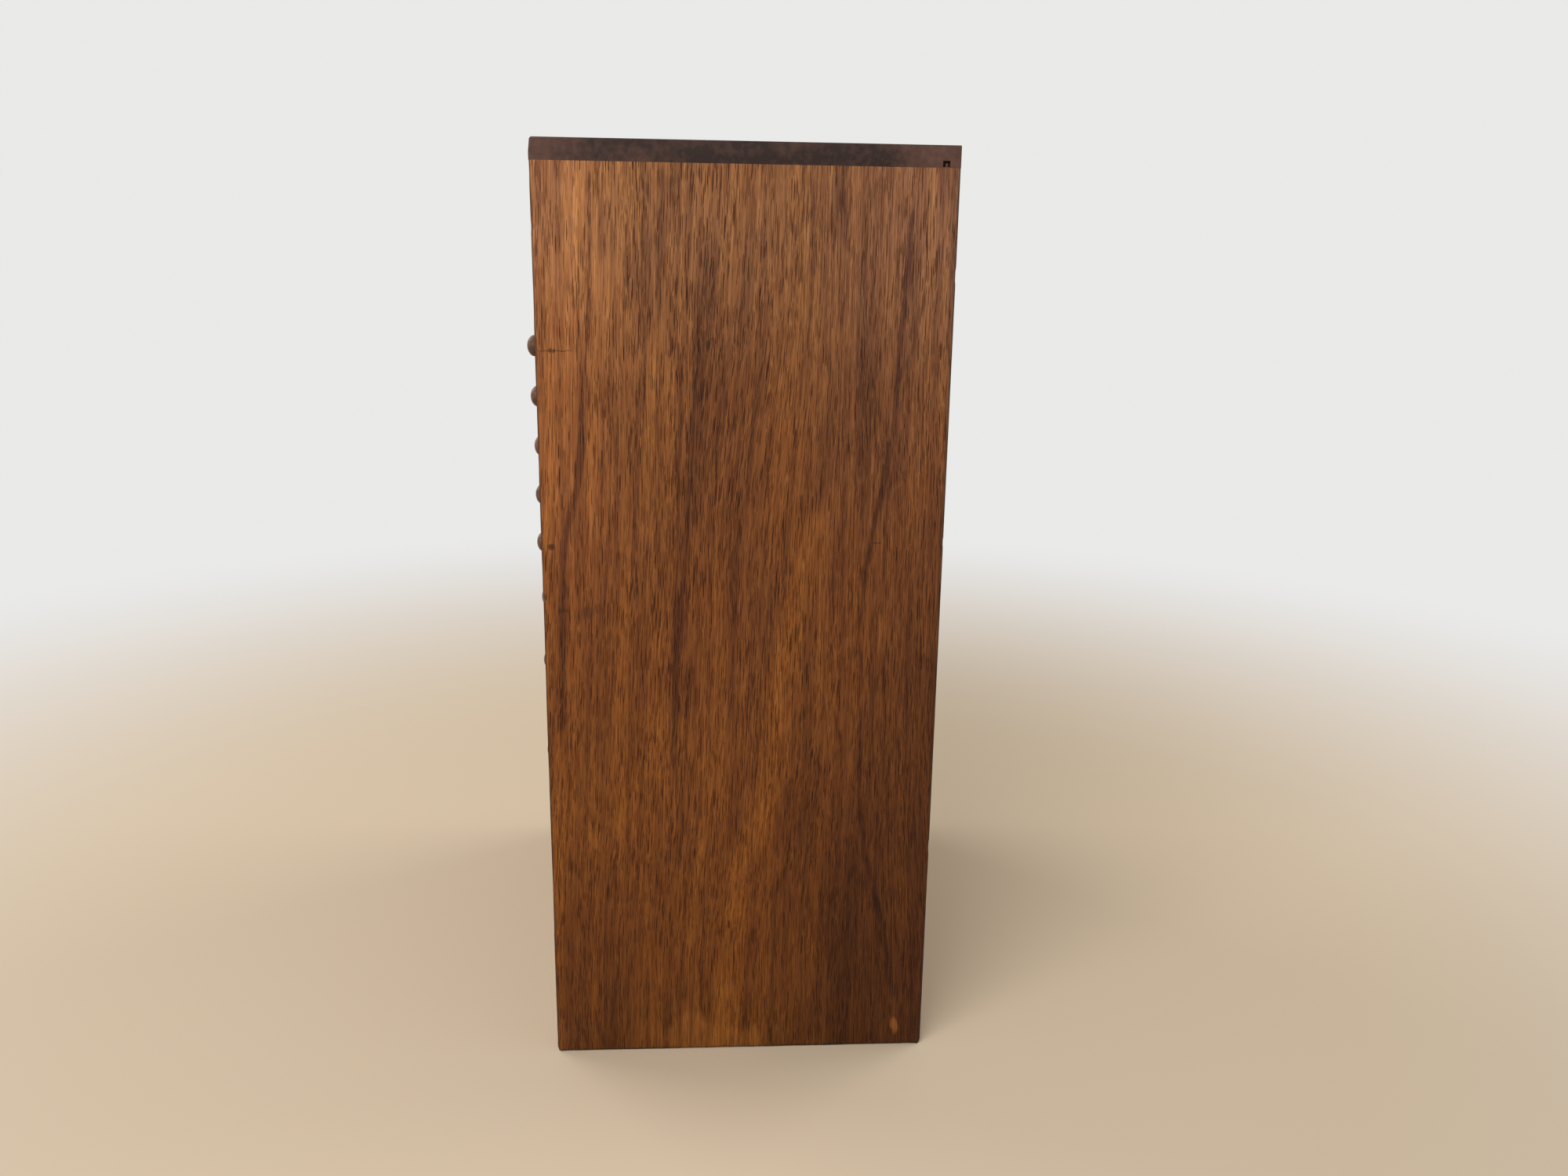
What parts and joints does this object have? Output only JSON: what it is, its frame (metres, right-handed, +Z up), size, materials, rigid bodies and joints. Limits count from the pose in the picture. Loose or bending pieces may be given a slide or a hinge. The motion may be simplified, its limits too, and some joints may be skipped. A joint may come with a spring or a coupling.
{
  "type": "chest of drawers",
  "caption": "Tall narrow wooden chest of small drawers with turned knobs: shallow drawers in columns between a wide top drawer and a deep wide bottom drawer, all sliding out of the front.",
  "frame": {"origin": "middle of the case's underside, on the surface that it stands on", "axes": "+Z up, drawers open towards -Y, +X to the right of someone facing the drawers"},
  "size_m": [0.29, 0.2085, 0.47],
  "materials": {
    "case_wood": "worn oil stain",
    "top_wood": "dark worn stain",
    "shelf_wood": "bare, aged",
    "back_wood": "bare, aged",
    "drawer_wood": "worn oil stain",
    "knob_wood": "handled, half gloss"
  },
  "bodies": {
    "case": {"side_right": "case_wood", "side_left": "case_wood", "top_board": "top_wood", "bottom_board": "case_wood", "back_panel": "back_wood", "shelf_upper": "shelf_wood", "shelf_middle": "shelf_wood", "shelf_lower": "shelf_wood", "small_divider_left": "shelf_wood", "small_divider_right": "shelf_wood", "large_divider": "shelf_wood"},
    "top_drawer": {"top_drawer": "drawer_wood", "top_drawer_knob": "knob_wood"},
    "small_drawer_1_left": {"small_drawer_1_left": "drawer_wood", "small_drawer_1_left_knob": "knob_wood"},
    "small_drawer_1_middle": {"small_drawer_1_middle": "drawer_wood", "small_drawer_1_middle_knob": "knob_wood"},
    "small_drawer_1_right": {"small_drawer_1_right": "drawer_wood", "small_drawer_1_right_knob": "knob_wood"},
    "small_drawer_2_left": {"small_drawer_2_left": "drawer_wood", "small_drawer_2_left_knob": "knob_wood"},
    "small_drawer_2_middle": {"small_drawer_2_middle": "drawer_wood", "small_drawer_2_middle_knob": "knob_wood"},
    "small_drawer_2_right": {"small_drawer_2_right": "drawer_wood", "small_drawer_2_right_knob": "knob_wood"},
    "small_drawer_3_left": {"small_drawer_3_left": "drawer_wood", "small_drawer_3_left_knob": "knob_wood"},
    "small_drawer_3_middle": {"small_drawer_3_middle": "drawer_wood", "small_drawer_3_middle_knob": "knob_wood"},
    "small_drawer_3_right": {"small_drawer_3_right": "drawer_wood", "small_drawer_3_right_knob": "knob_wood"},
    "small_drawer_4_left": {"small_drawer_4_left": "drawer_wood", "small_drawer_4_left_knob": "knob_wood"},
    "small_drawer_4_middle": {"small_drawer_4_middle": "drawer_wood", "small_drawer_4_middle_knob": "knob_wood"},
    "small_drawer_4_right": {"small_drawer_4_right": "drawer_wood", "small_drawer_4_right_knob": "knob_wood"},
    "small_drawer_5_left": {"small_drawer_5_left": "drawer_wood", "small_drawer_5_left_knob": "knob_wood"},
    "small_drawer_5_middle": {"small_drawer_5_middle": "drawer_wood", "small_drawer_5_middle_knob": "knob_wood"},
    "small_drawer_5_right": {"small_drawer_5_right": "drawer_wood", "small_drawer_5_right_knob": "knob_wood"},
    "medium_drawer_1_left": {"medium_drawer_1_left": "drawer_wood", "medium_drawer_1_left_knob": "knob_wood"},
    "medium_drawer_1_right": {"medium_drawer_1_right": "drawer_wood", "medium_drawer_1_right_knob": "knob_wood"},
    "medium_drawer_2_left": {"medium_drawer_2_left": "drawer_wood", "medium_drawer_2_left_knob": "knob_wood"},
    "medium_drawer_2_right": {"medium_drawer_2_right": "drawer_wood", "medium_drawer_2_right_knob": "knob_wood"},
    "deep_drawer_left": {"deep_drawer_left": "drawer_wood", "deep_drawer_left_knob": "knob_wood"},
    "deep_drawer_right": {"deep_drawer_right": "drawer_wood", "deep_drawer_right_knob": "knob_wood"},
    "bottom_drawer": {"bottom_drawer": "drawer_wood", "bottom_drawer_knob": "knob_wood"}
  },
  "joints": [
    {"name": "top_drawer_slide", "type": "slide", "parent": "case", "child": "top_drawer", "axis": [0, -1, 0], "range_m": [0, 0.14]},
    {"name": "small_drawer_1_left_slide", "type": "slide", "parent": "case", "child": "small_drawer_1_left", "axis": [0, -1, 0], "range_m": [0, 0.14]},
    {"name": "small_drawer_1_middle_slide", "type": "slide", "parent": "case", "child": "small_drawer_1_middle", "axis": [0, -1, 0], "range_m": [0, 0.14]},
    {"name": "small_drawer_1_right_slide", "type": "slide", "parent": "case", "child": "small_drawer_1_right", "axis": [0, -1, 0], "range_m": [0, 0.14]},
    {"name": "small_drawer_2_left_slide", "type": "slide", "parent": "case", "child": "small_drawer_2_left", "axis": [0, -1, 0], "range_m": [0, 0.14]},
    {"name": "small_drawer_2_middle_slide", "type": "slide", "parent": "case", "child": "small_drawer_2_middle", "axis": [0, -1, 0], "range_m": [0, 0.14]},
    {"name": "small_drawer_2_right_slide", "type": "slide", "parent": "case", "child": "small_drawer_2_right", "axis": [0, -1, 0], "range_m": [0, 0.14]},
    {"name": "small_drawer_3_left_slide", "type": "slide", "parent": "case", "child": "small_drawer_3_left", "axis": [0, -1, 0], "range_m": [0, 0.14]},
    {"name": "small_drawer_3_middle_slide", "type": "slide", "parent": "case", "child": "small_drawer_3_middle", "axis": [0, -1, 0], "range_m": [0, 0.14]},
    {"name": "small_drawer_3_right_slide", "type": "slide", "parent": "case", "child": "small_drawer_3_right", "axis": [0, -1, 0], "range_m": [0, 0.14]},
    {"name": "small_drawer_4_left_slide", "type": "slide", "parent": "case", "child": "small_drawer_4_left", "axis": [0, -1, 0], "range_m": [0, 0.14]},
    {"name": "small_drawer_4_middle_slide", "type": "slide", "parent": "case", "child": "small_drawer_4_middle", "axis": [0, -1, 0], "range_m": [0, 0.14]},
    {"name": "small_drawer_4_right_slide", "type": "slide", "parent": "case", "child": "small_drawer_4_right", "axis": [0, -1, 0], "range_m": [0, 0.14]},
    {"name": "small_drawer_5_left_slide", "type": "slide", "parent": "case", "child": "small_drawer_5_left", "axis": [0, -1, 0], "range_m": [0, 0.14]},
    {"name": "small_drawer_5_middle_slide", "type": "slide", "parent": "case", "child": "small_drawer_5_middle", "axis": [0, -1, 0], "range_m": [0, 0.14]},
    {"name": "small_drawer_5_right_slide", "type": "slide", "parent": "case", "child": "small_drawer_5_right", "axis": [0, -1, 0], "range_m": [0, 0.14]},
    {"name": "medium_drawer_1_left_slide", "type": "slide", "parent": "case", "child": "medium_drawer_1_left", "axis": [0, -1, 0], "range_m": [0, 0.14]},
    {"name": "medium_drawer_1_right_slide", "type": "slide", "parent": "case", "child": "medium_drawer_1_right", "axis": [0, -1, 0], "range_m": [0, 0.14]},
    {"name": "medium_drawer_2_left_slide", "type": "slide", "parent": "case", "child": "medium_drawer_2_left", "axis": [0, -1, 0], "range_m": [0, 0.14]},
    {"name": "medium_drawer_2_right_slide", "type": "slide", "parent": "case", "child": "medium_drawer_2_right", "axis": [0, -1, 0], "range_m": [0, 0.14]},
    {"name": "deep_drawer_left_slide", "type": "slide", "parent": "case", "child": "deep_drawer_left", "axis": [0, -1, 0], "range_m": [0, 0.14]},
    {"name": "deep_drawer_right_slide", "type": "slide", "parent": "case", "child": "deep_drawer_right", "axis": [0, -1, 0], "range_m": [0, 0.14]},
    {"name": "bottom_drawer_slide", "type": "slide", "parent": "case", "child": "bottom_drawer", "axis": [0, -1, 0], "range_m": [0, 0.14]}
  ]
}
